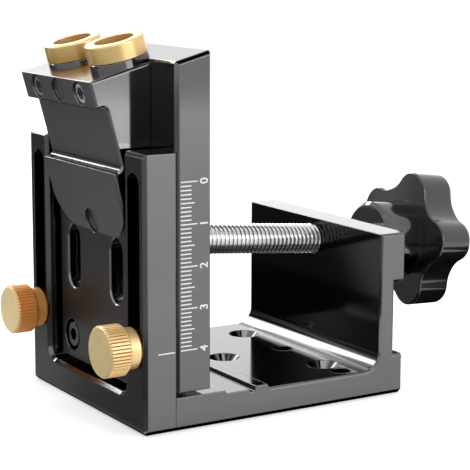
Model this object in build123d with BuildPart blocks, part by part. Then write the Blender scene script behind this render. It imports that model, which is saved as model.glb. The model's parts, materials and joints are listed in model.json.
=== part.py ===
from build123d import *
import os
from math import cos, radians, sin, tan

os.makedirs("parts", exist_ok=True)

# Pocket hole jig: an aluminium base carries a slotted front frame and a rear wall. A slider with
# two drill bushings travels up and down the frame, and a clamp screw in the wall pushes the work
# against the slider. The origin is the middle floor hole on the underside. Front is -Y, the clamp
# knob is at +Y, and +Z is up. Sizes are in millimetres, angles in degrees.

# Whole jig
width = 62.0
hole_to_front = 40.4
sharp_edge_break = 0.85
light_edge_break = 0.5
underside_break = 1.15

# Front frame
frame_thick = 8.4
frame_height = 66.5
slot_width = 6.2
side_to_slot = 5.3
slot_to_window = 1.4
slot_to_top = 4.6
window_floor = 8.1
window_corner = 3.0

# Base
base_length = 63.85
front_floor = 8.3
front_floor_length = 13.5
recess_floor = 7.55
recess_ramp = 0.4
recess_length = 7.1
groove_floor = 6.9
groove_width = 1.5
lip_height = 8.2
lip_width = 3.4
lip_ramp = 0.7
main_floor = 7.2
wall_thick = 4.4
wall_height = 42.1
wall_fillet = 4.5
boss_depth = 3.2
boss_height = 12.4
foot_depth = 2.45
foot_height = 10.7
foot_top_radius = 1.4
foot_bottom_radius = 2.5

# Holes in the floor
bench_screw_hole = 4.6
bench_screw_head = 8.4
side_to_bench_screw = 11.7
rear_hole_from_middle = 18.0
stop_hole = 5.2
stop_hole_from_middle = 18.4
side_to_stop_hole = 4.3

# Dowels between the frame and the base
dowel_diameter = 4.0
side_to_dowel = 11.0
dowel_height = 4.1
dowel_in_frame = 5.5
dowel_in_base = 10.0
dowel_play = 0.02

# Slider plate
plate_gap = 0.15
plate_thick = 9.2
plate_bottom = 9.4
plate_rise = 0.6
plate_rear_break = 0.25
drill_tilt = 15.0
nose_edge_y = -47.75
nose_edge_z = 82.44
plate_corner_depth = 0.35
plate_corner_height = 0.5

# Guide block, measured down its nose face and back along its top
window_to_block = 2.0
block_edge_break = 0.45
channel_start = 6.5
channel_end = 22.3
channel_depth = 2.6
channel_fillet = 1.2
shield_top_break = 0.4
shield_length = 39.6
shield_corner = 10.0
centre_hole = 5.8
centre_hole_depth = 0.9
centre_hole_down = 3.35
recess_diameter = 6.3
recess_down = 36.8
recess_depth = 1.2

# Drill bushings
block_side_to_bushing = 7.7
bushing_back = 12.2
drill_bore = 9.6
drill_passage = 10.0
ring_head_diameter = 14.4
ring_head_height = 4.2
ring_sleeve_diameter = 11.2
collar_diameter = 14.4
left_collar_height = 1.0
right_collar_height = 2.1
collar_play = 0.1
collar_break = 0.3
sleeve_diameter = 12.4
sleeve_length = 19.5
sleeve_play = 0.02
chip_slot_width = 6.6
chip_slot_low = 27.9
chip_slot_high = 44.0
chip_slot_break = 0.35

# Set screws that hold the bushings
set_screw_diameter = 5.7
set_screw_recess = 0.5
set_screw_end_gap = 0.1
set_screw_socket = 3.0
set_screw_socket_depth = 2.6

# Screws that hold the block to the plate
block_side_to_screw = 6.0
block_screw_height = 15.3
block_screw_diameter = 4.0
block_screw_head = 7.0
block_screw_head_height = 4.0
block_screw_length = 9.0
block_counterbore = 8.2
block_counterbore_depth = 4.3
block_screw_socket = 3.0

# Thumb screws
thumb_height = 20.6
slot_end_play = 0.6
thumb_shank = 5.0
thumb_shank_in_plate = 7.0
thumb_shoulder = 10.0
thumb_shoulder_length = 3.4
thumb_shoulder_break = 0.6
thumb_head = 12.4
thumb_head_length = 5.5
thumb_head_break = 0.5
face_gap = 0.05
thread_play = 0.05

# Clamp screw. Its thread has so much play in the wall that the knob end hangs a little.
screw_droop = 5.0
screw_height = 36.4
screw_diameter = 7.9
ball_diameter = 6.0
ball_to_thread = 4.55
ball_play = 0.15
neck_diameter = 4.0

# Knob and its hub, measured along the screw from the wall's inner face
wall_to_hub = 18.1
hub_diameter = 20.0
hub_break = 1.0
hub_length = 10.7
hub_insert_diameter = 14.0
hub_insert_length = 6.0
knob_collar_diameter = 21.4
knob_collar_height = 0.7
knob_thick = 10.7
knob_draft = 2.5
knob_lobes = 5
knob_diameter = 37.8
knob_lobe_radius = 6.0
knob_core_diameter = 28.6
knob_valley_fillet = 7.5
knob_turn = -4.6
knob_front_fillet = 0.5
knob_rear_fillet = 1.6
knob_dish_diameter = 17.0
knob_dish_depth = 1.0
hub_screw_diameter = 4.0
hub_screw_recess = 1.0

# Clamp pad, upright on the ball of the screw
pad_to_plate = 5.0
pad_diameter = 18.0
pad_facing = 2.0
pad_disc = 3.0
pad_boss_diameter = 13.0
pad_boss = 2.8
pad_mouth_diameter = 5.2
pad_ball_to_disc_front = 3.6

# Places that follow from the sizes above
y_front = -hole_to_front
y_seam = y_front + frame_thick
y_plate_front = y_seam + plate_gap
y_plate_rear = y_plate_front + plate_thick
y_wall_out = y_seam + base_length
y_wall_in = y_wall_out - wall_thick
y_pad_ball = y_plate_rear + pad_to_plate + pad_facing + pad_ball_to_disc_front
slot_low = thumb_height - slot_end_play
slot_high = frame_height - slot_to_top - slot_width / 2
slot_spacing = width - 2 * side_to_slot
window_width = slot_spacing - slot_width - 2 * slot_to_window
block_width = window_width - 2 * window_to_block
bushing_spacing = block_width - 2 * block_side_to_bushing
block_screw_spacing = block_width - 2 * block_side_to_screw
dowel_spacing = width - 2 * side_to_dowel


def top_height(y):
    """Height of the slanted top of the slider at a distance from the origin."""
    return nose_edge_z + (y - nose_edge_y) * tan(radians(drill_tilt))


def nose_point(down, deep=0):
    """Place in the side view, from a distance down the nose face and a depth below it."""
    return (
        nose_edge_y + down * sin(radians(drill_tilt)) + deep * cos(radians(drill_tilt)),
        nose_edge_z - down * cos(radians(drill_tilt)) + deep * sin(radians(drill_tilt)),
    )


def facing_front(y):
    """Upright plane whose normal points to the front, with X across and Z up."""
    return Plane.XZ.offset(-y)


shield_foot_y, shield_foot_z = nose_point(shield_length)
y_plate_corner = y_plate_front + plate_corner_depth
plate_corner_top = top_height(y_plate_corner) + plate_rise
block_foot_thick = y_plate_front - shield_foot_y
block_screw_in_plate = block_screw_length - (block_foot_thick - block_counterbore_depth)

# The slanted top of the slider: local x is across, local y runs back from the nose edge.
top_plane = Plane(
    origin=(0, nose_edge_y, nose_edge_z),
    x_dir=(1, 0, 0),
    z_dir=(0, -sin(radians(drill_tilt)), cos(radians(drill_tilt))),
)
# The nose face: local x is across, local y runs up to the nose edge.
nose_plane = Plane(
    origin=(0, nose_edge_y, nose_edge_z),
    x_dir=(1, 0, 0),
    z_dir=(0, -cos(radians(drill_tilt)), -sin(radians(drill_tilt))),
)
# The clamp screw's plane at the wall's inner face: its normal runs along the screw to the knob.
screw_plane = Plane(
    origin=(0, y_wall_in, screw_height),
    x_dir=(1, 0, 0),
    z_dir=(0, cos(radians(screw_droop)), -sin(radians(screw_droop))),
)
wall_to_ball = (y_wall_in - y_pad_ball) / cos(radians(screw_droop))
wall_to_thread_start = wall_to_ball - ball_to_thread
pad_height = screw_height + (y_wall_in - y_pad_ball) * tan(radians(screw_droop))
pad_plane = Plane(origin=(0, y_pad_ball, pad_height), x_dir=(1, 0, 0), z_dir=(0, 1, 0))

# Base: one extrusion with the floor, the rail lip, the rear wall, its screw boss and the foot.
y_recess = y_seam + front_floor_length
y_groove = y_recess + recess_length
y_lip = y_groove + groove_width
y_lip_end = y_lip + lip_width
y_main = y_lip_end + lip_ramp
with BuildPart() as base:
    with BuildSketch(Plane.YZ) as base_profile:
        with BuildLine():
            Polyline(
                (y_seam, 0),
                (y_wall_out + foot_depth, 0),
                (y_wall_out + foot_depth, foot_height),
                (y_wall_out, foot_height),
                (y_wall_out, wall_height - boss_height),
                (y_wall_out + boss_depth, wall_height - boss_height),
                (y_wall_out + boss_depth, wall_height),
                (y_wall_in, wall_height),
                (y_wall_in, main_floor),
                (y_main, main_floor),
                (y_lip_end, lip_height),
                (y_lip, lip_height),
                (y_lip, groove_floor),
                (y_groove, groove_floor),
                (y_groove, recess_floor),
                (y_recess + recess_ramp, recess_floor),
                (y_recess, front_floor),
                (y_seam, front_floor),
                close=True,
            )
        make_face()
        corners = base_profile.vertices()
        inner_corner = corners.sort_by_distance((y_wall_in, main_floor))[0]
        foot_top = corners.sort_by_distance((y_wall_out + foot_depth, foot_height))[0]
        foot_bottom = corners.sort_by_distance((y_wall_out + foot_depth, 0))[0]
        fillet(inner_corner, wall_fillet)
        fillet(foot_top, foot_top_radius)
        fillet(foot_bottom, foot_bottom_radius)
    extrude(amount=width / 2, both=True)
    # The sawn ends are broken lightly along the wall and the foot, and wide along the underside.
    sawn_edges = base.faces().filter_by(Axis.X).edges()
    chamfer([e for e in sawn_edges if e.center().Z > front_floor], light_edge_break)
    with BuildSketch(facing_front(y_seam)):
        with BuildLine():
            Polyline(
                (width / 2 - underside_break, 0),
                (width / 2, 0),
                (width / 2, underside_break),
                close=True,
            )
        make_face()
        mirror(about=Plane.YZ)
    extrude(amount=-base_length - foot_depth, mode=Mode.SUBTRACT)
    # Countersunk holes for bench screws
    with Locations(
        (0, 0, main_floor),
        (side_to_bench_screw - width / 2, rear_hole_from_middle, main_floor),
        (width / 2 - side_to_bench_screw, rear_hole_from_middle, main_floor),
    ):
        CounterSinkHole(bench_screw_hole / 2, bench_screw_head / 2, counter_sink_angle=90)
    # Plain holes for stops
    with Locations(
        (0, stop_hole_from_middle, main_floor),
        (width / 2 - side_to_stop_hole, stop_hole_from_middle, main_floor),
    ):
        Hole(stop_hole / 2)
    # Hole for the clamp screw through the wall and its boss
    with BuildSketch(screw_plane):
        Circle(screw_diameter / 2 + thread_play)
    extrude(amount=wall_thick + 2 * boss_depth, both=True, mode=Mode.SUBTRACT)
    # Blind holes for the dowels
    with BuildSketch(facing_front(y_seam)):
        with GridLocations(dowel_spacing, 1, 2, 1):
            with Locations((0, dowel_height)):
                Circle(dowel_diameter / 2 + dowel_play)
    extrude(amount=-dowel_in_base, mode=Mode.SUBTRACT)
base.part.label = "base"
export_step(base.part, "parts/base.step")

# Front frame: a plate with a window that is open at the top and a slot in each post.
with BuildPart() as front_frame:
    with BuildSketch(facing_front(y_seam)) as frame_face:
        with Locations((0, frame_height / 2)):
            Rectangle(width, frame_height)
        with Locations((0, (window_floor + frame_height) / 2)):
            Rectangle(window_width, frame_height - window_floor, mode=Mode.SUBTRACT)
        window_corners = frame_face.vertices().filter_by_position(
            Axis.Y, window_floor - window_corner / 2, window_floor + window_corner / 2
        )
        fillet(window_corners, window_corner)
        with Locations((0, (slot_low + slot_high) / 2)):
            with GridLocations(slot_spacing, 1, 2, 1):
                SlotCenterToCenter(
                    slot_high - slot_low, slot_width, rotation=90, mode=Mode.SUBTRACT
                )
    extrude(amount=frame_thick)
    outline = front_frame.faces().sort_by(Axis.Y)[0].outer_wire().edges()
    chamfer(
        [e for e in outline if abs(e.center().X) > window_width / 2 or e.center().Z < dowel_height],
        sharp_edge_break,
    )
    with BuildSketch(facing_front(y_seam)):
        with BuildLine():
            Polyline(
                (width / 2 - underside_break, 0),
                (width / 2, 0),
                (width / 2, underside_break),
                close=True,
            )
        make_face()
        mirror(about=Plane.YZ)
    extrude(amount=frame_thick, mode=Mode.SUBTRACT)
    with BuildSketch(facing_front(y_seam)):
        with GridLocations(dowel_spacing, 1, 2, 1):
            with Locations((0, dowel_height)):
                Circle(dowel_diameter / 2 + dowel_play)
    extrude(amount=dowel_in_frame, mode=Mode.SUBTRACT)
front_frame.part.label = "front_frame"
export_step(front_frame.part, "parts/front_frame.step")

# Dowels that fix the frame to the base
with BuildPart() as frame_dowels:
    with BuildSketch(facing_front(y_seam + dowel_in_base)):
        with GridLocations(dowel_spacing, 1, 2, 1):
            with Locations((0, dowel_height)):
                Circle(dowel_diameter / 2)
    extrude(amount=dowel_in_base + dowel_in_frame)
frame_dowels.part.label = "frame_dowels"
export_step(frame_dowels.part, "parts/frame_dowels.step")

# Slider plate: runs behind the frame, with a slanted top square to the drill holes.
with BuildPart() as slide_plate:
    with BuildSketch(Plane.YZ):
        with BuildLine():
            Polyline(
                (y_plate_front, plate_bottom),
                (y_plate_rear, plate_bottom),
                (y_plate_rear, top_height(y_plate_rear) + plate_rise),
                (y_plate_front, top_height(y_plate_front) + plate_rise),
                close=True,
            )
        make_face()
    extrude(amount=width / 2, both=True)
    # Both sides are broken wide along the front and the top, and hardly at the rear and below.
    side_edges = slide_plate.faces().filter_by(Axis.X).edges()
    chamfer(
        [e for e in side_edges if e.center().Y < y_plate_rear and e.center().Z > plate_bottom],
        sharp_edge_break,
    )
    side_edges = slide_plate.faces().filter_by(Axis.X).edges()
    rear_edges = side_edges.group_by(Axis.Y)[-1]
    bottom_edges = side_edges.group_by(Axis.Z)[0]
    chamfer(rear_edges + bottom_edges, plate_rear_break)
    # The front top corner is broken on each side of the guide block.
    for side_start in (-width / 2, block_width / 2):
        with BuildSketch(Plane.YZ.offset(side_start)):
            with BuildLine():
                Polyline(
                    (y_plate_front, plate_corner_top - plate_corner_height),
                    (y_plate_corner, plate_corner_top),
                    (y_plate_corner, plate_corner_top + plate_corner_height),
                    (y_plate_front, plate_corner_top + plate_corner_height),
                    close=True,
                )
            make_face()
        extrude(amount=(width - block_width) / 2, mode=Mode.SUBTRACT)
    # Slanted holes for the bushing sleeves, then for the drill alone
    with BuildSketch(top_plane):
        with Locations((0, bushing_back)):
            with GridLocations(bushing_spacing, 1, 2, 1):
                Circle(sleeve_diameter / 2 + sleeve_play)
    extrude(amount=-sleeve_length, mode=Mode.SUBTRACT)
    with BuildSketch(top_plane):
        with Locations((0, bushing_back)):
            with GridLocations(bushing_spacing, 1, 2, 1):
                Circle(drill_passage / 2)
    extrude(amount=-frame_height, mode=Mode.SUBTRACT)
    # The plate stands a little above the block, and is cut back round the collars.
    with BuildSketch(top_plane):
        with Locations((0, bushing_back)):
            with GridLocations(bushing_spacing, 1, 2, 1):
                Circle(collar_diameter / 2 + collar_play)
    extrude(amount=plate_thick, mode=Mode.SUBTRACT)
    # Chip slots
    with BuildSketch(facing_front(y_plate_rear)):
        with Locations((0, (chip_slot_low + chip_slot_high) / 2)):
            with GridLocations(bushing_spacing, 1, 2, 1):
                SlotOverall(chip_slot_high - chip_slot_low, chip_slot_width, rotation=90)
    extrude(amount=plate_thick, mode=Mode.SUBTRACT)
    # Blind threaded holes for the thumb screws and the block screws
    with BuildSketch(facing_front(y_plate_front)):
        with Locations((0, thumb_height)):
            with GridLocations(slot_spacing, 1, 2, 1):
                Circle(thumb_shank / 2 + thread_play)
    extrude(amount=-thumb_shank_in_plate - face_gap, mode=Mode.SUBTRACT)
    with BuildSketch(facing_front(y_plate_front)):
        with Locations((0, block_screw_height)):
            with GridLocations(block_screw_spacing, 1, 2, 1):
                Circle(block_screw_diameter / 2 + sleeve_play)
    extrude(amount=-block_screw_in_plate, mode=Mode.SUBTRACT)
slide_plate.part.label = "slide_plate"
export_step(slide_plate.part, "parts/slide_plate.step")

# Guide block: its nose carries the bushings, and its shield and foot stand in the frame's window.
with BuildPart() as guide_block:
    with BuildSketch(Plane.YZ) as block_profile:
        with BuildLine():
            Polyline(
                (y_plate_front, plate_bottom),
                (y_plate_front, top_height(y_plate_front)),
                (nose_edge_y, nose_edge_z),
                nose_point(channel_start),
                nose_point(channel_start, channel_depth),
                nose_point(channel_end, channel_depth),
                nose_point(channel_end),
                (shield_foot_y, shield_foot_z),
                (shield_foot_y, plate_bottom),
                close=True,
            )
        make_face()
        corners = block_profile.vertices()
        channel_top = corners.sort_by_distance(nose_point(channel_start, channel_depth))[0]
        channel_bottom = corners.sort_by_distance(nose_point(channel_end, channel_depth))[0]
        shield_top = corners.sort_by_distance(nose_point(channel_end))[0]
        fillet([channel_top, channel_bottom], channel_fillet)
        chamfer(shield_top, shield_top_break)
    extrude(amount=block_width / 2, both=True)
    # The long corners of both sides are broken, in front of the plate.
    side_edges = guide_block.faces().filter_by(Axis.X).edges()
    chamfer(
        [
            e
            for e in side_edges
            if e.center().Y < y_plate_front - block_edge_break and e.length > channel_depth
        ],
        block_edge_break,
    )
    # The shield's lower corners are rounded down to the foot.
    with BuildSketch(facing_front(shield_foot_y)):
        with Locations((0, shield_foot_z + shield_corner / 2)):
            Rectangle(block_width, shield_corner)
            Rectangle(block_width - 2 * shield_corner, shield_corner, mode=Mode.SUBTRACT)
        with Locations((0, shield_foot_z + shield_corner)):
            with GridLocations(block_width - 2 * shield_corner, 1, 2, 1):
                Circle(shield_corner, mode=Mode.SUBTRACT)
    extrude(amount=hole_to_front, mode=Mode.SUBTRACT)
    # Slanted holes for the bushing sleeves, then for the drill alone
    with BuildSketch(top_plane):
        with Locations((0, bushing_back)):
            with GridLocations(bushing_spacing, 1, 2, 1):
                Circle(sleeve_diameter / 2 + sleeve_play)
    extrude(amount=-sleeve_length, mode=Mode.SUBTRACT)
    with BuildSketch(top_plane):
        with Locations((0, bushing_back)):
            with GridLocations(bushing_spacing, 1, 2, 1):
                Circle(drill_passage / 2)
    extrude(amount=-frame_height, mode=Mode.SUBTRACT)
    # Chip slots through the foot
    with BuildSketch(facing_front(y_plate_front)):
        with Locations((0, (chip_slot_low + chip_slot_high) / 2)):
            with GridLocations(bushing_spacing, 1, 2, 1):
                SlotOverall(chip_slot_high - chip_slot_low, chip_slot_width, rotation=90)
    extrude(amount=block_foot_thick, mode=Mode.SUBTRACT)
    foot_front = guide_block.faces().sort_by_distance((0, shield_foot_y, block_screw_height))[0]
    chamfer(
        [e for e in foot_front.edges() if chip_slot_low <= e.center().Z < shield_foot_z - 1],
        chip_slot_break,
    )
    # Threaded holes for the set screws and the blind hole between them
    with BuildSketch(nose_plane):
        with Locations((0, -centre_hole_down)):
            with GridLocations(bushing_spacing, 1, 2, 1):
                Circle(set_screw_diameter / 2 + sleeve_play)
    extrude(amount=-bushing_back, mode=Mode.SUBTRACT)
    with BuildSketch(nose_plane):
        with Locations((0, -centre_hole_down)):
            Circle(centre_hole / 2)
    extrude(amount=-centre_hole_depth, mode=Mode.SUBTRACT)
    # Shallow round recess low on the shield
    with BuildSketch(nose_plane.offset(recess_depth)):
        with Locations((0, -recess_down)):
            Circle(recess_diameter / 2)
    extrude(amount=-2 * recess_depth, mode=Mode.SUBTRACT)
    # Counterbored holes for the block screws
    with Locations(facing_front(shield_foot_y)):
        with Locations((0, block_screw_height)):
            with GridLocations(block_screw_spacing, 1, 2, 1):
                CounterBoreHole(
                    block_screw_diameter / 2 + sleeve_play,
                    block_counterbore / 2,
                    block_counterbore_depth,
                    block_foot_thick,
                )
guide_block.part.label = "guide_block"
export_step(guide_block.part, "parts/guide_block.step")

# Screws that hold the block to the plate, sunk in their counterbores
y_screw_seat = shield_foot_y + block_counterbore_depth
with BuildPart() as block_screws:
    with BuildSketch(facing_front(y_screw_seat)):
        with Locations((0, block_screw_height)):
            with GridLocations(block_screw_spacing, 1, 2, 1):
                Circle(block_screw_head / 2)
    extrude(amount=block_screw_head_height)
    with BuildSketch(facing_front(y_screw_seat)):
        with Locations((0, block_screw_height)):
            with GridLocations(block_screw_spacing, 1, 2, 1):
                Circle(block_screw_diameter / 2)
    extrude(amount=-block_screw_length + light_edge_break)
    head_rims = block_screws.faces().sort_by(Axis.Y)[:2].edges()
    chamfer(head_rims, light_edge_break)
    with BuildSketch(facing_front(y_screw_seat - block_screw_head_height)):
        with Locations((0, block_screw_height)):
            with GridLocations(block_screw_spacing, 1, 2, 1):
                RegularPolygon(block_screw_socket / 2, 6, major_radius=False)
    extrude(amount=-block_screw_head_height / 2, mode=Mode.SUBTRACT)
block_screws.part.label = "block_screws"
export_step(block_screws.part, "parts/block_screws.step")

# Drill bushings: a steel sleeve with a collar that stands on the slanted top, a brass ring with
# a thin sleeve inside it, and a set screw from the nose that locks each pair.
for side, bushing_x, collar_height in (
    ("left", -bushing_spacing / 2, left_collar_height),
    ("right", bushing_spacing / 2, right_collar_height),
):
    with BuildPart() as bushing:
        with BuildSketch(top_plane):
            with Locations((bushing_x, bushing_back)):
                Circle(collar_diameter / 2)
        extrude(amount=collar_height)
        chamfer(bushing.faces().sort_by(Axis.Z)[-1].edges(), collar_break)
        with BuildSketch(top_plane):
            with Locations((bushing_x, bushing_back)):
                Circle(sleeve_diameter / 2)
        extrude(amount=-sleeve_length)
        with BuildSketch(top_plane.offset(collar_height)):
            with Locations((bushing_x, bushing_back)):
                Circle(ring_sleeve_diameter / 2 + sleeve_play)
        extrude(amount=-collar_height - sleeve_length, mode=Mode.SUBTRACT)
    bushing.part.label = f"{side}_bushing"
    export_step(bushing.part, f"parts/{side}_bushing.step")

    with BuildPart() as ring:
        with BuildSketch(top_plane.offset(collar_height)):
            with Locations((bushing_x, bushing_back)):
                Circle(ring_head_diameter / 2)
        extrude(amount=ring_head_height)
        fillet(ring.faces().sort_by(Axis.Z)[-1].edges(), light_edge_break)
        with BuildSketch(top_plane.offset(collar_height)):
            with Locations((bushing_x, bushing_back)):
                Circle(ring_sleeve_diameter / 2)
        extrude(amount=-collar_height - sleeve_length)
        with BuildSketch(top_plane.offset(collar_height + ring_head_height)):
            with Locations((bushing_x, bushing_back)):
                Circle(drill_bore / 2)
        extrude(
            amount=-ring_head_height - collar_height - sleeve_length, mode=Mode.SUBTRACT
        )
    ring.part.label = f"{side}_bushing_ring"
    export_step(ring.part, f"parts/{side}_bushing_ring.step")

    set_screw_end = bushing_back - sleeve_diameter / 2 - set_screw_end_gap
    with BuildPart() as set_screw:
        with BuildSketch(nose_plane.offset(-set_screw_recess)):
            with Locations((bushing_x, -centre_hole_down)):
                Circle(set_screw_diameter / 2)
        extrude(amount=set_screw_recess - set_screw_end)
        chamfer(set_screw.edges().filter_by(GeomType.CIRCLE), light_edge_break)
        with BuildSketch(nose_plane.offset(-set_screw_recess)):
            with Locations((bushing_x, -centre_hole_down)):
                RegularPolygon(set_screw_socket / 2, 6, major_radius=False)
        extrude(amount=-set_screw_socket_depth, mode=Mode.SUBTRACT)
    set_screw.part.label = f"{side}_set_screw"
    export_step(set_screw.part, f"parts/{side}_set_screw.step")

# Thumb screws: a knurled head and a shoulder clamp the slider to the frame through each slot.
y_shoulder = y_front - face_gap
y_head = y_shoulder - thumb_shoulder_length
y_shank_end = y_plate_front + thumb_shank_in_plate
for side, thumb_x in (("left", -slot_spacing / 2), ("right", slot_spacing / 2)):
    with BuildPart() as thumb_screw:
        with BuildSketch(facing_front(y_head)):
            with Locations((thumb_x, thumb_height)):
                Circle(thumb_head / 2)
        extrude(amount=thumb_head_length)
        chamfer(thumb_screw.edges().filter_by(GeomType.CIRCLE), thumb_head_break)
        with BuildSketch(facing_front(y_shoulder)):
            with Locations((thumb_x, thumb_height)):
                Circle(thumb_shoulder / 2)
        extrude(amount=thumb_shoulder_length)
        chamfer(thumb_screw.faces().sort_by(Axis.Y)[-1].edges(), thumb_shoulder_break)
        with BuildSketch(facing_front(y_shank_end)):
            with Locations((thumb_x, thumb_height)):
                Circle(thumb_shank / 2)
        extrude(amount=y_shank_end - y_shoulder)
        chamfer(thumb_screw.faces().sort_by(Axis.Y)[-1].edges(), light_edge_break)
    thumb_screw.part.label = f"{side}_thumb_screw"
    export_step(thumb_screw.part, f"parts/{side}_thumb_screw.step")

# Clamp screw: the threaded spindle, a neck and the ball that the pad swivels on.
wall_to_thread_end = wall_to_hub + hub_length + hub_insert_length - light_edge_break
with BuildPart() as clamp_screw:
    with BuildSketch(screw_plane.offset(-wall_to_thread_start)):
        Circle(screw_diameter / 2)
    extrude(amount=wall_to_thread_start + wall_to_thread_end)
    chamfer(clamp_screw.edges().filter_by(GeomType.CIRCLE), light_edge_break)
    with BuildSketch(screw_plane.offset(-wall_to_ball)):
        Circle(neck_diameter / 2)
    extrude(amount=wall_to_ball - wall_to_thread_start)
    with Locations(screw_plane.offset(-wall_to_ball)):
        Sphere(ball_diameter / 2)
clamp_screw.part.label = "clamp_screw"
export_step(clamp_screw.part, "parts/clamp_screw.step")

# Knob hub: a turned steel collar with an insert that the knob is moulded on.
wall_to_knob_collar = wall_to_hub + hub_length
wall_to_knob = wall_to_knob_collar + knob_collar_height
hub_middle = screw_plane.offset(wall_to_hub + hub_length / 2)
hub_side = Plane(origin=hub_middle.origin, x_dir=(1, 0, 0), z_dir=hub_middle.y_dir)
with BuildPart() as knob_hub:
    with BuildSketch(screw_plane.offset(wall_to_hub)):
        Circle(hub_diameter / 2)
    extrude(amount=hub_length)
    chamfer(knob_hub.edges().filter_by(GeomType.CIRCLE).sort_by(Axis.Y)[0], hub_break)
    with BuildSketch(screw_plane.offset(wall_to_knob_collar)):
        Circle(hub_insert_diameter / 2)
    extrude(amount=hub_insert_length)
    with BuildSketch(screw_plane.offset(wall_to_hub)):
        Circle(screw_diameter / 2 + sleeve_play)
    extrude(amount=hub_length + hub_insert_length - light_edge_break, mode=Mode.SUBTRACT)
    # Threaded hole from below for the hub's set screw
    with BuildSketch(hub_side):
        Circle(hub_screw_diameter / 2 + sleeve_play)
    extrude(amount=hub_diameter, mode=Mode.SUBTRACT)
knob_hub.part.label = "knob_hub"
export_step(knob_hub.part, "parts/knob_hub.step")

with BuildPart() as hub_set_screw:
    with BuildSketch(hub_side.offset(screw_diameter / 2 + thread_play)):
        Circle(hub_screw_diameter / 2)
    extrude(amount=(hub_diameter - screw_diameter) / 2 - thread_play - hub_screw_recess)
    chamfer(hub_set_screw.edges().filter_by(GeomType.CIRCLE), light_edge_break)
    with BuildSketch(hub_side.offset(hub_diameter / 2 - hub_screw_recess)):
        RegularPolygon(hub_screw_diameter / 4, 6, major_radius=False)
    extrude(amount=-hub_screw_diameter / 2, mode=Mode.SUBTRACT)
hub_set_screw.part.label = "hub_set_screw"
export_step(hub_set_screw.part, "parts/hub_set_screw.step")

# Star knob: lobes round a core, with a raised ring round the hub and a shallow dish at the back.
with BuildPart() as clamp_knob:
    with BuildSketch(screw_plane.offset(wall_to_knob)) as star:
        Circle(knob_core_diameter / 2)
        with PolarLocations(
            knob_diameter / 2 - knob_lobe_radius, knob_lobes, start_angle=knob_turn
        ):
            Circle(knob_lobe_radius)
        fillet(star.vertices(), knob_valley_fillet)
    extrude(amount=knob_thick, taper=knob_draft)
    fillet(clamp_knob.faces().sort_by(Axis.Y)[-1].edges(), knob_rear_fillet)
    fillet(clamp_knob.faces().sort_by(Axis.Y)[0].edges(), knob_front_fillet)
    with BuildSketch(screw_plane.offset(wall_to_knob)):
        Circle(knob_collar_diameter / 2)
    extrude(amount=-knob_collar_height)
    with BuildSketch(screw_plane.offset(wall_to_knob + knob_thick)):
        Circle(knob_dish_diameter / 2)
    extrude(amount=-knob_dish_depth, mode=Mode.SUBTRACT)
    with BuildSketch(screw_plane.offset(wall_to_knob_collar)):
        Circle(hub_insert_diameter / 2 + sleeve_play)
    extrude(amount=hub_insert_length, mode=Mode.SUBTRACT)
clamp_knob.part.label = "clamp_knob"
export_step(clamp_knob.part, "parts/clamp_knob.step")

# Clamp pad: a disc with a socket boss for the ball, and a rubber facing glued to its front.
with BuildPart() as clamp_pad:
    with BuildSketch(pad_plane.offset(-pad_ball_to_disc_front)):
        Circle(pad_diameter / 2)
    extrude(amount=pad_disc)
    chamfer(clamp_pad.edges().filter_by(GeomType.CIRCLE).sort_by(Axis.Y)[-1], light_edge_break)
    with BuildSketch(pad_plane.offset(pad_disc - pad_ball_to_disc_front)):
        Circle(pad_boss_diameter / 2)
    extrude(amount=pad_boss)
    chamfer(clamp_pad.faces().sort_by(Axis.Y)[-1].edges(), light_edge_break)
    with Locations(pad_plane):
        Sphere(ball_diameter / 2 + ball_play, mode=Mode.SUBTRACT)
    with BuildSketch(pad_plane):
        Circle(pad_mouth_diameter / 2)
    extrude(amount=pad_disc + pad_boss, mode=Mode.SUBTRACT)
clamp_pad.part.label = "clamp_pad"
export_step(clamp_pad.part, "parts/clamp_pad.step")

with BuildPart() as pad_facing_disc:
    with BuildSketch(pad_plane.offset(-pad_ball_to_disc_front)):
        Circle(pad_diameter / 2)
    extrude(amount=-pad_facing)
    fillet(pad_facing_disc.edges().filter_by(GeomType.CIRCLE).sort_by(Axis.Y)[0], light_edge_break)
pad_facing_disc.part.label = "pad_facing"
export_step(pad_facing_disc.part, "parts/pad_facing.step")
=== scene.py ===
import json

import bpy
from math import atan2, cos, pi, radians, sin
from mathutils import Matrix, Vector


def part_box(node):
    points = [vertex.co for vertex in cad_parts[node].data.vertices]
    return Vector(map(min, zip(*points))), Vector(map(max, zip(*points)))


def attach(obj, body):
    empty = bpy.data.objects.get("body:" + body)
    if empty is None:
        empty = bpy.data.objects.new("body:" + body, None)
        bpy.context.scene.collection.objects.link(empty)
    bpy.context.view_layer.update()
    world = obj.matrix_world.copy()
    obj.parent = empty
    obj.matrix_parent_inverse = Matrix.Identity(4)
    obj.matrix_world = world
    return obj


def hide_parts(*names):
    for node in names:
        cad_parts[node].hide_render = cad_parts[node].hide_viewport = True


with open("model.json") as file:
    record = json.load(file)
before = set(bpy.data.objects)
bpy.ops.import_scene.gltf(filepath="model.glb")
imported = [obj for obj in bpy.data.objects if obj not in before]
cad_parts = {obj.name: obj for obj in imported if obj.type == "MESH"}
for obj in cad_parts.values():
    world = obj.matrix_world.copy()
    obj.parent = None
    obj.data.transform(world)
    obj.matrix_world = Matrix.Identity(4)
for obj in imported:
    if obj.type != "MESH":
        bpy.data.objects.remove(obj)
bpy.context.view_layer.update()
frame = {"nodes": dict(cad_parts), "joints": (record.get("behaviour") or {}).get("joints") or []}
nodes = frame["nodes"]
mm = 0.001


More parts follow.
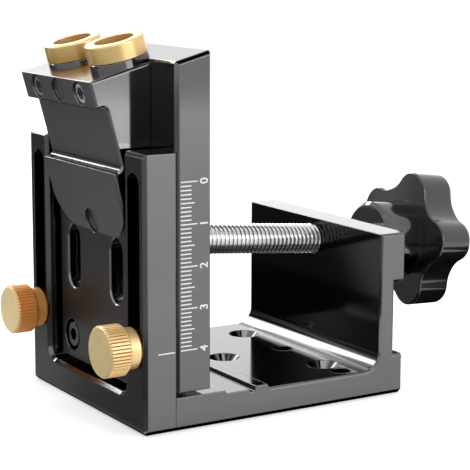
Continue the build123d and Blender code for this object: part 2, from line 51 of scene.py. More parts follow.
# Bars of the base, front frame, slider plate and guide block: aluminium, drawn, milled and
# polished, then anodised black and sealed. They mirror the room darkly and almost sharply, with
# faint draw lines along the bar, and their dye is worn off along the corners.
def hex_colour(text):
    """Linear colour of an sRGB hex value."""
    parts = [int(text[i : i + 2], 16) / 255 for i in (1, 3, 5)]
    return [c / 12.92 if c <= 0.04045 else ((c + 0.055) / 1.055) ** 2.4 for c in parts] + [1.0]


def add_node(tree, kind, inputs=None, **settings):
    """Adds a shader node; an input is a value, or the output socket of another node.

    Some inputs are told by their place: a Map Range takes its value, the range it comes from and
    the range it goes to as 0 to 4, and a colour Mix its share and two colours as 0, 6 and 7.
    """
    node = tree.nodes.new("ShaderNode" + kind)
    for name, value in settings.items():
        setattr(node, name, value)
    for key, value in (inputs or {}).items():
        if isinstance(value, bpy.types.NodeSocket):
            tree.links.new(value, node.inputs[key])
        else:
            node.inputs[key].default_value = value
    return node


def new_material(name):
    """A material, its node tree and its Principled shader."""
    material = bpy.data.materials.new(name)
    material.use_nodes = True
    return material, material.node_tree, material.node_tree.nodes["Principled BSDF"]


def dress(node_name, material):
    """Gives a CAD node its finish."""
    slots = nodes[node_name].data.materials
    if slots:
        for i in range(len(slots)):
            slots[i] = material
    else:
        slots.append(material)


corner_radius = 0.45 * mm
tool_mark_depth = 0.01 * mm
across_line = 1400.0  # draw lines in a metre across the bar, 0.7 mm apart so that they show
along_line = 60.0  # breaks in a metre along a draw line, 17 mm apart
grit_per_metre = 3300.0  # grains of 0.3 mm, drawn coarser than the real ones so that they show
clouds_per_metre = 80.0  # clouds of about 12 mm in the dye


def anodised(name, line_scale, dye, front_painted_shade, blasted_roughness, top_roughness):
    """Anodised bar, whose draw lines are long where line_scale is small.

    dye is the darkest and the palest shade of the polished faces. The faces at the front get a
    painted shade instead, one for the sloping and one for the upright faces.
    """
    material, tree, shader = new_material(name)
    place = add_node(tree, "TexCoord").outputs["Object"]
    grit = add_node(
        tree, "TexNoise", {"Vector": place, "Scale": grit_per_metre, "Detail": 2.0}
    )
    cloud = add_node(
        tree, "TexNoise", {"Vector": place, "Scale": clouds_per_metre, "Detail": 3.0}
    )
    stretched = add_node(tree, "Mapping", {"Vector": place, "Scale": line_scale})
    lines = add_node(
        tree, "TexNoise", {"Vector": stretched.outputs[0], "Scale": 1.0, "Detail": 3.0}
    )
    # A sharp corner is told from its rounded normal: there the dye has worn off.
    round_corner = add_node(tree, "Bevel", {"Radius": corner_radius}, samples=6)
    shape = add_node(tree, "NewGeometry")
    flatness = add_node(
        tree,
        "VectorMath",
        {0: round_corner.outputs[0], 1: shape.outputs["True Normal"]},
        operation="DOT_PRODUCT",
    )
    corner = add_node(
        tree, "MapRange", {0: flatness.outputs["Value"], 1: 0.98, 2: 0.8, 3: 0.0, 4: 1.0}
    )
    clouded = add_node(
        tree,
        "Mix",
        {0: cloud.outputs["Fac"], 6: hex_colour(dye[0]), 7: hex_colour(dye[1])},
        data_type="RGBA",
    )
    worn = add_node(
        tree,
        "Mix",
        {0: corner.outputs[0], 6: clouded.outputs[2], 7: hex_colour("#606060")},
        data_type="RGBA",
    )
    polished = add_node(
        tree, "MapRange", {0: cloud.outputs["Fac"], 1: 0.3, 2: 0.7, 3: 0.06, 4: 0.09}
    )
    # The faces turned to the front are roughened by bead blasting and shine less. Their colour
    # is painted shade, in place of the darker room they mirror: paler on the sloping faces,
    # which look down at the lit floor, than on the upright ones. Their corners stay polished.
    # The tops have a roughness of their own. What a face is turned to is told by a cosine: 0.96
    # is 16 degrees off, and 0.99 is 8.
    to_front = add_node(
        tree, "VectorMath", {0: round_corner.outputs[0], 1: (0, -1, 0)}, operation="DOT_PRODUCT"
    )
    to_top = add_node(
        tree, "VectorMath", {0: round_corner.outputs[0], 1: (0, 0, 1)}, operation="DOT_PRODUCT"
    )
    front = add_node(tree, "MapRange", {0: to_front.outputs["Value"], 1: 0.9, 2: 0.96})
    upright = add_node(tree, "MapRange", {0: to_front.outputs["Value"], 1: 0.975, 2: 0.99})
    # Painted shade on the front faces: the sloping ones take the first shade, the upright ones
    # the second.
    front_shade_colour = add_node(
        tree,
        "Mix",
        {0: upright.outputs[0], 6: hex_colour(front_painted_shade[0]), 7: hex_colour(front_painted_shade[1])},
        data_type="RGBA",
    )
    colour = add_node(
        tree,
        "Mix",
        {0: front.outputs[0], 6: worn.outputs[2], 7: front_shade_colour.outputs[2]},
        data_type="RGBA",
    )
    tree.links.new(colour.outputs[2], shader.inputs["Base Color"])
    metal = add_node(tree, "MapRange", {0: front.outputs[0], 3: 1.0, 4: 0.15})
    tree.links.new(metal.outputs[0], shader.inputs["Metallic"])
    shader.inputs["Specular IOR Level"].default_value = 0.3
    top = add_node(
        tree,
        "MapRange",
        {0: to_top.outputs["Value"], 1: 0.85, 2: 0.95, 3: polished.outputs[0], 4: top_roughness},
    )
    rough = add_node(
        tree, "MapRange", {0: front.outputs[0], 3: top.outputs[0], 4: blasted_roughness}
    )
    tree.links.new(rough.outputs[0], shader.inputs["Roughness"])
    line_bump = add_node(
        tree,
        "Bump",
        {
            "Height": lines.outputs["Fac"],
            "Distance": tool_mark_depth,
            "Strength": 0.3,
            "Normal": round_corner.outputs[0],
        },
    )
    bump = add_node(
        tree,
        "Bump",
        {
            "Height": grit.outputs["Fac"],
            "Distance": tool_mark_depth,
            "Strength": 0.12,
            "Normal": line_bump.outputs[0],
        },
    )
    tree.links.new(bump.outputs[0], shader.inputs["Normal"])
    return material


# Each bar's front faces get a painted shade; on the guide block the sloping faces are painted
# paler than the upright foot.
base_bar = anodised(
    "black anodised aluminium, drawn across",
    line_scale=(along_line, across_line, across_line),
    dye=("#666666", "#6e6e6e"),
    front_painted_shade=("#0c0c0c", "#0c0c0c"),
    blasted_roughness=0.1,
    top_roughness=0.09,
)
plate_bar = anodised(
    "black anodised aluminium, drawn upright",
    line_scale=(across_line, across_line, along_line),
    dye=("#646464", "#6c6c6c"),
    front_painted_shade=("#0c0c0c", "#0c0c0c"),
    blasted_roughness=0.12,
    top_roughness=0.09,
)
frame_bar = anodised(
    "black anodised aluminium, rough front in painted shade",
    line_scale=(across_line, across_line, along_line),
    dye=("#686868", "#707070"),
    front_painted_shade=("#1c1c1c", "#1c1c1c"),
    blasted_roughness=0.42,
    top_roughness=0.09,
)
block_bar = anodised(
    "black anodised aluminium, polished sides",
    line_scale=(across_line, across_line, along_line),
    dye=("#808080", "#888888"),
    front_painted_shade=("#484848", "#222222"),
    blasted_roughness=0.38,
    top_roughness=0.18,
)
dress("base", base_bar)
dress("front_frame", frame_bar)
dress("slide_plate", plate_bar)
dress("guide_block", block_bar)


# Ruler on the side of the slider plate and the index line on the frame. A laser burns them
# through the dye, which leaves them dull and nearly white. They stand a hair proud of the face,
# so that they show.
def select_none():
    """Leaves nothing selected."""
    if bpy.context.object and bpy.context.object.mode != "OBJECT":
        bpy.ops.object.mode_set(mode="OBJECT")
    bpy.ops.object.select_all(action="DESELECT")


def settle(piece, body):
    """Puts a finished piece's place into its mesh and lets it ride on its body."""
    select_none()
    piece.select_set(True)
    bpy.context.view_layer.objects.active = piece
    bpy.ops.object.transform_apply(location=True, rotation=True, scale=True)
    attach(piece, body)


# The burnt metal is chalky, with dots of 0.2 mm.
laser_mark, tree, shader = new_material("laser mark in anodised aluminium")
place = add_node(tree, "TexCoord").outputs["Object"]
dots = add_node(tree, "TexNoise", {"Vector": place, "Scale": 6000.0, "Detail": 1.0})
chalk = add_node(
    tree,
    "Mix",
    {0: dots.outputs["Fac"], 6: hex_colour("#f0f0f0"), 7: hex_colour("#ffffff")},
    data_type="RGBA",
)
tree.links.new(chalk.outputs[2], shader.inputs["Base Color"])
shader.inputs["Roughness"].default_value = 0.75

plate_low, plate_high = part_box("slide_plate")
frame_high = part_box("front_frame")[1]
mark_depth = 0.03 * mm
mark_proud = 0.012 * mm
mark_middle = mark_proud - mark_depth / 2
mark_width = 0.3 * mm
mark_corner = 0.3 * mark_width
ruler_zero = 59.65 * mm
ruler_start = plate_low.y + 1.15 * mm
ruler_millimetres = 40
mark_lengths = {10: 4.5 * mm, 5: 3.75 * mm, 1: 2.9 * mm}


def mark(y_start, y_end, z, side_x):
    """One straight mark on a side face, with softened ends."""
    select_none()
    bpy.ops.mesh.primitive_cube_add(
        size=1.0,
        location=(side_x + mark_middle, (y_start + y_end) / 2, z),
        scale=(mark_depth, y_end - y_start, mark_width),
    )
    line = bpy.context.object
    bpy.ops.object.transform_apply(location=True, rotation=True, scale=True)
    bpy.ops.object.mode_set(mode="EDIT")
    bpy.ops.mesh.select_all(action="DESELECT")
    bpy.ops.object.mode_set(mode="OBJECT")
    for edge in line.data.edges:
        ends = [line.data.vertices[v].co for v in edge.vertices]
        edge.select = abs(ends[0].x - ends[1].x) > mark_depth / 2
    bpy.ops.object.mode_set(mode="EDIT")
    bpy.ops.mesh.select_mode(type="EDGE")
    bpy.ops.mesh.bevel(offset=mark_corner, segments=2)
    bpy.ops.object.mode_set(mode="OBJECT")
    return line


# The first mark, at zero, is made while Blender still selects vertices: all its edges are
# bevelled, and it stands 0.07 mm proud of the face. The others stand 0.012 mm proud.
marks = []
for millimetre in range(ruler_millimetres + 1):
    step = max(step for step in mark_lengths if millimetre % step == 0)
    mark_end = ruler_start + mark_lengths[step]
    marks.append(mark(ruler_start, mark_end, ruler_zero - millimetre * mm, plate_high.x))

digit_height = 2.15 * mm
digit_share = 0.72  # how high a digit is in its type size
digit_swell = 0.05 * mm
digit_foot = plate_high.y - 2.95 * mm + digit_height
centimetre = 10 * mm
# The digits are read from the top of the ruler down: their feet point to the rear.
digit_turn = Matrix(((0, 0, 1), (0, -1, 0), (1, 0, 0))).to_4x4()
for number in range(ruler_millimetres // 10 + 1):
    select_none()
    bpy.ops.object.text_add()
    digit = bpy.context.object
    digit.data.body = str(number)
    digit.data.align_x = "CENTER"
    digit.data.size = digit_height / digit_share
    digit.data.extrude = mark_depth / 2
    digit.data.offset = digit_swell
    bpy.ops.object.convert(target="MESH")
    spot = (plate_high.x + mark_middle, digit_foot, ruler_zero - number * centimetre)
    digit.data.transform(Matrix.Translation(spot) @ digit_turn)
    marks.append(digit)

select_none()
for piece in marks:
    piece.select_set(True)
bpy.context.view_layer.objects.active = marks[0]
bpy.ops.object.join()
ruler = bpy.context.object
ruler.name = "ruler_marks"
ruler.data.materials.clear()
ruler.data.materials.append(laser_mark)
settle(ruler, "slider")

index_end = frame_high.y - 0.3 * mm
index_start = frame_high.y - 4.75 * mm
index_height = ruler_zero - 40.15 * mm
index_line = mark(index_start, index_end, index_height, frame_high.x)
index_line.name = "index_line"
index_line.data.materials.append(laser_mark)
settle(index_line, "body")


# Thumb screws, turned from brass bar: a head with a straight knurl between two broken corners,
# a plain shoulder, and a shank through the slot. Handling has rubbed them clean. Their corners,
# and the left one's sides, are painted a warm orange: painted light, in place of the light that
# brass throws on brass where they lie in shade.
def turned_brass(name, clean, painted_warm_light, side_painted_warm_light, metallic, roughness):
    """Brass with fine scratches; its corners and, by a share, its sides are painted warm orange,
    in place of the light that brass throws on brass in shade.
    """
    material, tree, shader = new_material(name)
    place = add_node(tree, "TexCoord").outputs["Object"]
    # Clouds of 3 mm between two shades of clean brass
    tint = add_node(tree, "TexNoise", {"Vector": place, "Scale": 350.0, "Detail": 3.0})
    metal = add_node(
        tree,
        "Mix",
        {0: tint.outputs["Fac"], 6: hex_colour(clean[0]), 7: hex_colour(clean[1])},
        data_type="RGBA",
    )
    # A place is a corner where something stands nearer than 7 mm.
    openness = add_node(tree, "AmbientOcclusion", {"Distance": 7 * mm}, samples=8)
    in_corner = add_node(
        tree, "MapRange", {0: openness.outputs["AO"], 1: 0.45, 2: 0.9, 3: 1.0, 4: 0.0}
    )
    shape = add_node(tree, "NewGeometry")
    to_front = add_node(
        tree, "VectorMath", {0: shape.outputs["Normal"], 1: (0, -1, 0)}, operation="DOT_PRODUCT"
    )
    on_side = add_node(
        tree, "MapRange", {0: to_front.outputs["Value"], 1: 0.3, 2: 0.8, 3: side_painted_warm_light, 4: 0.0}
    )
    painted_warm_share = add_node(
        tree, "Math", {0: in_corner.outputs[0], 1: on_side.outputs[0]}, operation="MAXIMUM"
    )
    # Corners, and by a share the sides, take a painted warm light in place of the light that
    # brass throws on brass in shade.
    colour = add_node(
        tree,
        "Mix",
        {0: painted_warm_share.outputs[0], 6: metal.outputs[2], 7: hex_colour(painted_warm_light)},
        data_type="RGBA",
    )
    tree.links.new(colour.outputs[2], shader.inputs["Base Color"])
    shader.inputs["Metallic"].default_value = metallic
    shader.inputs["Roughness"].default_value = roughness
    # Scratches of 0.2 mm
    scratch = add_node(tree, "TexNoise", {"Vector": place, "Scale": 5000.0, "Detail": 2.0})
    bump = add_node(
        tree,
        "Bump",
        {"Height": scratch.outputs["Fac"], "Distance": tool_mark_depth, "Strength": 0.15},
    )
    tree.links.new(bump.outputs[0], shader.inputs["Normal"])
    return material


right_brass = turned_brass(
    "turned brass",
    clean=("#f0d08c", "#fae4b0"),
    painted_warm_light="#d8923c",
    side_painted_warm_light=0.0,
    metallic=0.5,
    roughness=0.38,
)
# The left screw's sides are painted a brighter orange: painted light where it lies in shade.
left_brass = turned_brass(
    "brass with painted warm light",
    clean=("#f0d08c", "#fae4b0"),
    painted_warm_light="#ffae54",
    side_painted_warm_light=0.9,
    metallic=0.3,
    roughness=0.38,
)

knurl_teeth = 46
knurl_depth = 0.3 * mm
lines_a_tooth = 5
head_length = 5.5 * mm
head_break = 0.45 * mm
shoulder_radius = 5.0 * mm
shoulder_length = 3.4 * mm
shoulder_break = 0.6 * mm
shank_radius = 2.5 * mm
shank_break = 0.5 * mm
head_smooth_angle = radians(28)
rim_slack = 0.01 * mm
weld = 0.002 * mm


def start_outline(name, point):
    """A new piece in edit mode: one vertex, from which an outline is extruded."""
    select_none()
    bpy.ops.mesh.primitive_plane_add(size=1.0)
    piece = bpy.context.object
    piece.name = name
    bpy.ops.object.mode_set(mode="EDIT")
    bpy.ops.mesh.select_all(action="DESELECT")
    bpy.ops.object.mode_set(mode="OBJECT")
    for vertex in piece.data.vertices:
        vertex.select = vertex.index > 0
    bpy.ops.object.mode_set(mode="EDIT")
    bpy.ops.mesh.delete(type="VERT")
    bpy.ops.mesh.select_all(action="SELECT")
    # The vertex that is left is a corner of the plane, half a metre off in x and in y.
    bpy.ops.transform.translate(value=(point[0] + 0.5, point[1] + 0.5, point[2]))
    return piece


def turned(name, outline, steps, centre, axis):
    """Revolves an outline of (radius, distance along the axis) points round an axis."""
    side = axis.orthogonal().normalized()
    points = [centre + side * radius + axis * along for radius, along in outline]
    piece = start_outline(name, points[0])
    for last, point in zip(points, points[1:]):
        bpy.ops.mesh.extrude_vertices_move(TRANSFORM_OT_translate={"value": point - last})
    bpy.ops.mesh.select_all(action="SELECT")
    bpy.ops.mesh.spin(steps=steps, angle=2 * pi, center=centre, axis=axis)
    bpy.ops.mesh.select_all(action="SELECT")
    bpy.ops.mesh.remove_doubles(threshold=weld)
    bpy.ops.mesh.normals_make_consistent(inside=False)
    bpy.ops.object.mode_set(mode="OBJECT")
    return piece


thumb_low, thumb_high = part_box("right_thumb_screw")
thumb_centre = Vector(((thumb_low.x + thumb_high.x) / 2, 0, (thumb_low.z + thumb_high.z) / 2))
head_radius = (thumb_high.x - thumb_low.x) / 2
face = thumb_low.y
head_end = face + head_length
shoulder_end = head_end + shoulder_length
knurl_lines = knurl_teeth * lines_a_tooth
right_thumb = turned(
    "right_thumb_screw_knurled",
    [
        (0.0, face),
        (head_radius - head_break, face),
        (head_radius, face + head_break),
        (head_radius, head_end - head_break),
        (head_radius - head_break, head_end),
        (shoulder_radius, head_end),
        (shoulder_radius, shoulder_end - shoulder_break),
        (shoulder_radius - shoulder_break, shoulder_end),
        (shank_radius, shoulder_end),
        (shank_radius, thumb_high.y - shank_break),
        (shank_radius - shank_break, thumb_high.y),
        (0.0, thumb_high.y),
    ],
    steps=knurl_lines,
    centre=thumb_centre,
    axis=Vector((0, 1, 0)),
)
# One of every five lines round the head sinks, as the groove between two teeth of the knurl.
bpy.ops.object.mode_set(mode="EDIT")
bpy.ops.mesh.select_mode(type="VERT")
bpy.ops.mesh.select_all(action="DESELECT")
bpy.ops.object.mode_set(mode="OBJECT")
for vertex in right_thumb.data.vertices:
    out = vertex.co - thumb_centre
    out.y = 0
    if out.length > head_radius - rim_slack:
        knurl_line = round(atan2(out.z, out.x) / (2 * pi) * knurl_lines)
        vertex.select = knurl_line % lines_a_tooth == 0
bpy.ops.object.mode_set(mode="EDIT")
shrink = (head_radius - knurl_depth) / head_radius
bpy.ops.transform.resize(value=(shrink, 1, shrink), center_override=thumb_centre)
bpy.ops.object.mode_set(mode="OBJECT")
right_thumb.data.materials.append(right_brass)
select_none()
right_thumb.select_set(True)
bpy.context.view_layer.objects.active = right_thumb
bpy.ops.object.shade_smooth_by_angle(angle=head_smooth_angle)
left_thumb = right_thumb.copy()
left_thumb.data = right_thumb.data.copy()
left_thumb.name = "left_thumb_screw_knurled"
bpy.context.scene.collection.objects.link(left_thumb)
left_thumb.data.transform(Matrix.Translation((-2 * thumb_centre.x, 0, 0)))
left_thumb.data.materials[0] = left_brass
for piece, side in ((right_thumb, "right"), (left_thumb, "left")):
    settle(piece, side + "_thumb")
    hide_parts(side + "_thumb_screw")


# Drill bushings: turned brass rings over bright plated steel collars, with the two zinc plated
# set screws in the nose that hold them. The other screws of the block are black steel.
# Bright plating mirrors the room, here and there through a haze, in patches of 4 mm.
plated, tree, shader = new_material("bright plated steel")
place = add_node(tree, "TexCoord").outputs["Object"]
haze = add_node(tree, "TexNoise", {"Vector": place, "Scale": 260.0, "Detail": 4.0})
shade = add_node(
    tree,
    "Mix",
    {0: haze.outputs["Fac"], 6: hex_colour("#6c6c6e"), 7: hex_colour("#929294")},
    data_type="RGBA",
)
tree.links.new(shade.outputs[2], shader.inputs["Base Color"])
shader.inputs["Metallic"].default_value = 1.0
rough = add_node(tree, "MapRange", {0: haze.outputs["Fac"], 1: 0.3, 2: 0.7, 3: 0.06, 4: 0.14})
tree.links.new(rough.outputs[0], shader.inputs["Roughness"])


def steel(name, grains_per_metre, detail, dark, light, roughness):
    """Steel with an even shine, grained between two shades."""
    material, tree, shader = new_material(name)
    place = add_node(tree, "TexCoord").outputs["Object"]
    grain = add_node(
        tree, "TexNoise", {"Vector": place, "Scale": grains_per_metre, "Detail": detail}
    )
    shade = add_node(
        tree,
        "Mix",
        {0: grain.outputs["Fac"], 6: hex_colour(dark), 7: hex_colour(light)},
        data_type="RGBA",
    )
    tree.links.new(shade.outputs[2], shader.inputs["Base Color"])
    shader.inputs["Metallic"].default_value = 1.0
    shader.inputs["Roughness"].default_value = roughness
    return material


# Zinc is pale and soft in its shine, with a grain of 1 mm. Black oxide is a thin dark skin on
# polished steel, with a grain of 0.8 mm.
zinc = steel("zinc plated steel", 900.0, 3.0, "#c4c4c4", "#f0f0f0", roughness=0.2)
black_oxide = steel("black oxide steel", 1200.0, 3.0, "#161618", "#28282a", roughness=0.12)

# The rings' corners take the same painted warm light as the screws.
ring_brass = turned_brass(
    "smooth brass",
    clean=("#ecc67e", "#f6dc9e"),
    painted_warm_light="#d8923c",
    side_painted_warm_light=0.0,
    metallic=0.65,
    roughness=0.3,
)
for side in ("left", "right"):
    dress(side + "_bushing_ring", ring_brass)
    dress(side + "_bushing", plated)
    dress(side + "_set_screw", zinc)
dress("block_screws", black_oxide)
dress("frame_dowels", zinc)


# Clamp screw: a zinc plated M8 spindle with a rolled thread, turned down to a neck and a ball
# that the pad swivels on. The thread starts behind the neck and ends inside the knob.
pitch = 1.25 * mm
thread_start = 4.55 * mm
thread_length = 69.4 * mm
thread_crest = 3.95 * mm
thread_root = 3.28 * mm
crest_break = 0.08 * mm
crest_middle = 0.67 * mm
crest_half = 0.05 * mm
crest_break_half = 0.12 * mm
root_half = 0.51 * mm
spare_turns = 3
thread_steps = 28
thread_smooth_angle = radians(24)
thread_bottom = pitch * 1.5
neck_radius = 2.0 * mm
neck_overlap = 0.4 * mm
ball_radius = 3.0 * mm
neck_steps = 32
ball_rings = 20

tooth = [
    (thread_root, 0.0),
    (thread_root, crest_middle - root_half),
    (thread_crest - crest_break, crest_middle - crest_break_half),
    (thread_crest, crest_middle - crest_half),
    (thread_crest, crest_middle + crest_half),
    (thread_crest - crest_break, crest_middle + crest_break_half),
    (thread_root, crest_middle + root_half),
    (thread_root, pitch),
]
spindle = start_outline("threaded_spindle", (thread_root, 0, 0))
for (r0, z0), (r1, z1) in zip(tooth, tooth[1:]):
    bpy.ops.mesh.extrude_vertices_move(TRANSFORM_OT_translate={"value": (r1 - r0, 0, z1 - z0)})
bpy.ops.object.mode_set(mode="OBJECT")
screw = spindle.modifiers.new("thread", "SCREW")
screw.axis = "Z"
screw.angle = 2 * pi
screw.screw_offset = pitch
screw.iterations = int(thread_length / pitch) + spare_turns
screw.steps = screw.render_steps = thread_steps
screw.use_merge_vertices = True
screw.merge_threshold = weld
bpy.ops.object.modifier_apply(modifier=screw.name)
# The thread is made too long and cut square at both ends.
bpy.ops.object.mode_set(mode="EDIT")
bpy.ops.mesh.select_all(action="SELECT")
bpy.ops.mesh.remove_doubles(threshold=weld)
for cut, below in ((thread_bottom, True), (thread_bottom + thread_length, False)):
    bpy.ops.mesh.select_all(action="SELECT")
    bpy.ops.mesh.bisect(
        plane_co=(0, 0, cut),
        plane_no=(0, 0, 1),
        use_fill=True,
        clear_inner=below,
        clear_outer=not below,
    )
bpy.ops.mesh.select_all(action="SELECT")
bpy.ops.mesh.normals_make_consistent(inside=False)
bpy.ops.object.mode_set(mode="OBJECT")
neck = turned(
    "spindle_neck",
    [(neck_radius, -thread_start), (neck_radius, neck_overlap)],
    steps=neck_steps,
    centre=Vector((0, 0, thread_bottom)),
    axis=Vector((0, 0, 1)),
)
select_none()
bpy.ops.mesh.primitive_uv_sphere_add(
    segments=neck_steps,
    ring_count=ball_rings,
    radius=ball_radius,
    location=(0, 0, thread_bottom - thread_start),
)
spindle.select_set(True)
neck.select_set(True)
bpy.context.view_layer.objects.active = spindle
bpy.ops.object.join()
joints = {joint["name"]: joint for joint in frame["joints"]}
ball = Vector(joints["knob_turn"]["pos_m"])
to_knob = -Vector(joints["pad_advance"]["axis"])
aim = to_knob.to_track_quat("Z", "Y").to_matrix().to_4x4()
ball_to_zero = Matrix.Translation((0, 0, thread_start - thread_bottom))
spindle.data.transform(Matrix.Translation(ball) @ aim @ ball_to_zero)
spindle.data.materials.append(zinc)
bpy.ops.object.shade_smooth_by_angle(angle=thread_smooth_angle)
settle(spindle, "screw")
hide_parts("clamp_screw")


# Hub of the knob, turned from bright steel, with its black set screw, and the five-lobed knob,
# moulded in black glass-filled nylon. The mould's polish gives the nylon a glossy skin over
# faint pebbles.
# Turned steel is a dark mirror with slow clouds of 5 mm.
hub_steel = steel("turned bright steel", 200.0, 4.0, "#545454", "#6e6e6e", roughness=0.11)
dress("knob_hub", hub_steel)
dress("hub_set_screw", black_oxide)

# Pebbles of 0.4 mm, and flow clouds of 8 mm that shine a little differently
nylon, tree, shader = new_material("moulded black nylon")
place = add_node(tree, "TexCoord").outputs["Object"]
pebble = add_node(tree, "TexNoise", {"Vector": place, "Scale": 2600.0, "Detail": 2.0})
flow = add_node(tree, "TexNoise", {"Vector": place, "Scale": 120.0, "Detail": 3.0})
skin = add_node(
    tree,
    "Mix",
    {0: flow.outputs["Fac"], 6: hex_colour("#0e0e0e"), 7: hex_colour("#181818")},
    data_type="RGBA",
)
tree.links.new(skin.outputs[2], shader.inputs["Base Color"])
rough = add_node(tree, "MapRange", {0: flow.outputs["Fac"], 1: 0.3, 2: 0.7, 3: 0.16, 4: 0.22})
tree.links.new(rough.outputs[0], shader.inputs["Roughness"])
pebble_height = 0.01 * mm
bump = add_node(
    tree, "Bump", {"Height": pebble.outputs["Fac"], "Distance": pebble_height, "Strength": 0.3}
)
tree.links.new(bump.outputs[0], shader.inputs["Normal"])
shader.inputs["Coat Weight"].default_value = 1.0
shader.inputs["Coat Roughness"].default_value = 0.08
dress("clamp_knob", nylon)


# Swivel pad: a zinc plated disc pressed over the ball, with a flat facing of black rubber glued
# to it. The rubber is dull and crumbly, in grains of 0.7 mm.
rubber, tree, shader = new_material("black rubber")
place = add_node(tree, "TexCoord").outputs["Object"]
crumb = add_node(tree, "TexNoise", {"Vector": place, "Scale": 1500.0, "Detail": 4.0})
tone = add_node(
    tree,
    "Mix",
    {0: crumb.outputs["Fac"], 6: hex_colour("#1c1c1c"), 7: hex_colour("#303030")},
    data_type="RGBA",
)
tree.links.new(tone.outputs[2], shader.inputs["Base Color"])
shader.inputs["Roughness"].default_value = 0.7
crumb_height = 0.05 * mm
bump = add_node(
    tree, "Bump", {"Height": crumb.outputs["Fac"], "Distance": crumb_height, "Strength": 0.4}
)
tree.links.new(bump.outputs[0], shader.inputs["Normal"])
dress("clamp_pad", zinc)
dress("pad_facing", rubber)


# The studio: a pale floor, a white room, and soft boxes behind, at the left, at the right and
# above. To the camera and in a mirror the room is fully white and the floor glows a little; for
# diffuse light the room has 0.6 of that and the floor has no glow.
def seen_share(tree):
    """1 on a ray from the camera, a mirror or glass, and 0 on one of diffuse light."""
    path = add_node(tree, "LightPath")
    open_view = add_node(
        tree,
        "Math",
        {0: path.outputs["Is Camera Ray"], 1: path.outputs["Is Glossy Ray"]},
        operation="ADD",
    )
    return add_node(
        tree,
        "Math",
        {0: open_view.outputs[0], 1: path.outputs["Is Transmission Ray"]},
        operation="ADD",
    ).outputs[0]


floor_size = 6.0
floor_glow = 0.45
floor_paint, tree, shader = new_material("matt white paint")
shader.inputs["Base Color"].default_value = hex_colour("#f4f4f4")
shader.inputs["Roughness"].default_value = 0.9
glow = add_node(tree, "Math", {0: seen_share(tree), 1: floor_glow}, operation="MULTIPLY")
shader.inputs["Emission Color"].default_value = (1, 1, 1, 1)
tree.links.new(glow.outputs[0], shader.inputs["Emission Strength"])
select_none()
bpy.ops.mesh.primitive_plane_add(size=floor_size)
floor = bpy.context.object
floor.name = "studio_floor"
floor.data.materials.append(floor_paint)

room_light = 0.6
world = bpy.data.worlds.new("white room")
bpy.context.scene.world = world
world.use_nodes = True
tree = world.node_tree
background = tree.nodes["Background"]
background.inputs["Color"].default_value = (1, 1, 1, 1)
level = add_node(tree, "MapRange", {0: seen_share(tree), 1: 0.0, 2: 1.0, 3: room_light, 4: 1.0})
tree.links.new(level.outputs[0], background.inputs["Strength"])

jig_middle = Vector((0.0, 0.0, 0.04))


def soft_box(name, place, size, radiance):
    """A square lamp that looks at the jig; radiance is the brightness of its face."""
    lamp = bpy.data.lights.new(name, "AREA")
    lamp.shape = "RECTANGLE"
    lamp.size, lamp.size_y = size
    lamp.energy = radiance * pi * size[0] * size[1]
    box = bpy.data.objects.new(name, lamp)
    bpy.context.scene.collection.objects.link(box)
    box.location = place
    box.rotation_euler = (jig_middle - Vector(place)).to_track_quat("-Z", "Y").to_euler()


soft_box("back soft box", place=(-0.78, 0.48, 0.1), size=(0.9, 0.4), radiance=0.75)
soft_box("high back soft box", place=(-0.72, 0.36, 0.44), size=(0.26, 0.22), radiance=0.7)
soft_box("left soft box", place=(-0.72, -0.1, 0.47), size=(0.7, 0.17), radiance=6.5)
soft_box("right soft box", place=(0.75, 0.3, 0.3), size=(0.5, 0.4), radiance=2.8)
soft_box("top soft box", place=(0.1, -0.1, 0.9), size=(0.6, 0.6), radiance=1.2)


# Black sheets lie round the jig, under its edge and above it, and one stands up at its left.
# Only mirror-like faces see them. The black ones are painted shade there: under the jig's edge,
# round the knob and at its left they darken the floor where it lies in the jig's shadow. The
# front sheet and the standing one glow, as painted light: a pale strip near the jig lights the
# sloping front faces, and a grey glow far out lights the edges.
# Black sheets, seen only in mirror-like faces: painted shade.
painted_shade_paper, tree, shader = new_material("black sheet of painted shade")
shader.inputs["Base Color"].default_value = (0, 0, 0, 1)
shader.inputs["Roughness"].default_value = 1.0
shader.inputs["Specular IOR Level"].default_value = 0.0

# This sheet glows: painted light, seen only in mirror-like faces.
painted_light_paper, tree, shader = new_material("dark sheet with a strip of painted light")
shader.inputs["Base Color"].default_value = (0, 0, 0, 1)
shader.inputs["Roughness"].default_value = 1.0
strip_direction = (0.525, -0.851, 0.0)
strip_near, strip_far = -20 * mm, 300 * mm
# Brightness of the paper's glow, painted light, by the share of the way from near to far
painted_light_levels = (
    (0.047, 0.0),
    (0.081, 0.85),
    (0.131, 0.85),
    (0.169, 0.3),
    (0.312, 0.1),
    (0.45, 0.1),
    (0.55, 0.4),
)
place = add_node(tree, "TexCoord").outputs["Object"]
outwards = add_node(tree, "VectorMath", {0: place, 1: strip_direction}, operation="DOT_PRODUCT")
way = add_node(tree, "MapRange", {0: outwards.outputs["Value"], 1: strip_near, 2: strip_far})
strip = add_node(tree, "ValToRGB", {0: way.outputs[0]})
stops = strip.color_ramp.elements
for i, (position, grey) in enumerate(painted_light_levels):
    # A new ramp has two stops already.
    stop = stops[i] if i < 2 else stops.new(position)
    stop.position = position
    stop.color = (grey, grey, grey, 1)
tree.links.new(strip.outputs[0], shader.inputs["Emission Color"])
shader.inputs["Emission Strength"].default_value = 1.0


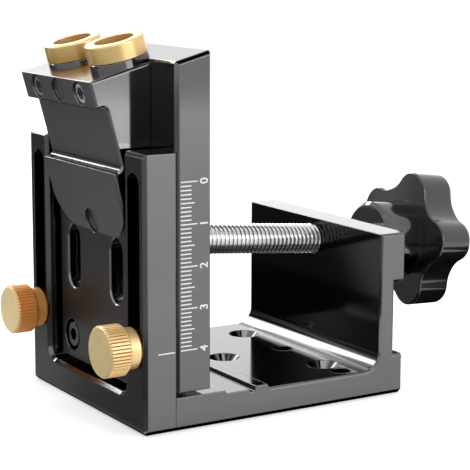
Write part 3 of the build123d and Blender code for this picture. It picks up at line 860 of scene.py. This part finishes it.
def paper_sheet(name, paper, corners):
    """A flat sheet of paper through four corners, made from a plane."""
    select_none()
    bpy.ops.mesh.primitive_plane_add(size=1.0)
    sheet = bpy.context.object
    sheet.name = name
    for vertex, corner in zip(sheet.data.vertices, corners):
        vertex.co = corner
    sheet.data.materials.append(paper)
    sheet.visible_camera = False
    sheet.visible_diffuse = False
    sheet.visible_shadow = False


def flat_sheet(name, paper, x_range, y_range, z):
    """A level sheet over a range of x and y."""
    paper_sheet(name, paper, [(x, y, z) for y in y_range for x in x_range])


flat_sheet("front_paper", painted_light_paper, (-0.9, 0.9), (-0.9, -0.041), z=1 * mm)
# Painted shade: these sheets darken the mirrored floor where it lies in the jig's shadow.
flat_sheet("left_shade_paper", painted_shade_paper, (-0.9, -0.032), (-0.041, 0.02), z=1 * mm)
flat_sheet("under_shade_paper", painted_shade_paper, (-0.0325, 0.0325), (-0.041, 0.0645), z=0.1 * mm)
flat_sheet("knob_shade_paper", painted_shade_paper, (-0.07, 0.04), (0.066, 0.15), z=1 * mm)
flat_sheet("knob_side_shade_paper", painted_shade_paper, (0.04, 0.078), (0.1, 0.16), z=1 * mm)
flat_sheet("high_paper", painted_shade_paper, (0.03, 0.3), (0.04, 0.22), z=0.62)
left_corners = [(-0.5, y, z) for z in (0.0, 0.24) for y in (-0.9, -0.12)]
paper_sheet("left_screen", painted_light_paper, left_corners)


# The camera stands as the photograph's did: a long lens, a little above the jig. Its angles and
# its focal length in pixels come from the straight edges in the photograph.
photo_width = 470
focal_pixels = 1591.3
camera_place = Vector((0.3465, -0.2104, 0.1127))
azimuth = radians(58.35)
elevation = radians(10.20)
roll = radians(0.22)

back = Vector(
    (sin(azimuth) * cos(elevation), -cos(azimuth) * cos(elevation), sin(elevation))
)
right = Vector((cos(azimuth), sin(azimuth), 0))
up = back.cross(right)
camera_x = right * cos(roll) + up * sin(roll)
camera_y = up * cos(roll) - right * sin(roll)
lens = bpy.data.cameras.new("camera")
lens.sensor_width = 36.0
lens.lens = focal_pixels * lens.sensor_width / photo_width
lens.clip_start = 0.01
lens.clip_end = 20.0
camera = bpy.data.objects.new("camera", lens)
bpy.context.scene.collection.objects.link(camera)
camera_axes = Matrix((camera_x, camera_y, back)).transposed().to_4x4()
camera.matrix_world = Matrix.Translation(camera_place) @ camera_axes
bpy.context.scene.camera = camera
bpy.context.scene.view_settings.view_transform = "Standard"
